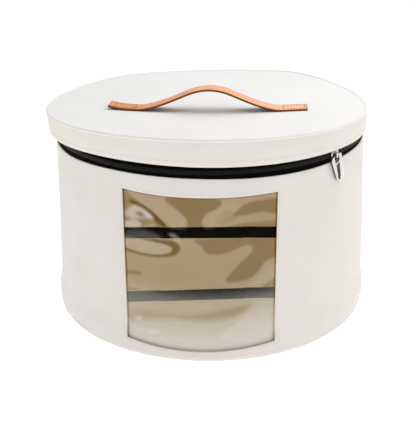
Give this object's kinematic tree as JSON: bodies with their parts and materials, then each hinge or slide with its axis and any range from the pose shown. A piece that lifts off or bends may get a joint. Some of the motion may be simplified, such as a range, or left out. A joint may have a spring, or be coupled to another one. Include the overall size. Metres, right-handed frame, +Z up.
{
  "type": "hat box",
  "caption": "Round soft hat storage box with a zipped dished lid, a clear front window, inner straps and a leather strap handle.",
  "frame": {"origin": "centre of the base's underside, on the surface that the box stands on", "axes": "+Z up along the box's axis, -Y towards the front with the window, +X along the handle towards the zipper's slider"},
  "size_m": [0.4148, 0.4128, 0.2866],
  "materials": {
    "body_cloth": "off-white coated canvas, matt",
    "lid_cloth": "off-white coated canvas, matt",
    "lining": "tan woven lining, matt",
    "clear_film": "clear soft vinyl film, glossy, slightly hazy",
    "webbing": "black webbing, matt",
    "zipper_tape": "black woven polyester tape",
    "zipper_teeth": "black nylon coil",
    "zipper_metal": "nickel-plated die casting",
    "leather": "tan leather, lightly waxed, cut edges"
  },
  "bodies": {
    "box": {"base_panel": "body_cloth", "body_wall": "body_cloth", "back_gusset": "body_cloth", "wall_lining": "lining", "floor_lining": "lining", "window_film": "clear_film", "inner_strap_upper": "webbing", "inner_strap_lower": "webbing", "zipper_tape_lower": "zipper_tape", "zipper_tape_upper": "zipper_tape", "zipper_coil": "zipper_teeth", "zipper_slider": "zipper_metal", "lid_band": "lid_cloth", "lid_piping": "lid_cloth", "lid_top": "lid_cloth", "handle_strap": "leather"},
    "pull": {"zipper_pull": "zipper_metal"}
  },
  "joints": [
    {"name": "pull_swing", "type": "hinge", "parent": "box", "child": "pull", "pos_m": [0.15605, -0.12863, 0.23778], "axis": [-0.6222, -0.7548, -0.2079], "range_deg": [0, 165]}
  ]
}
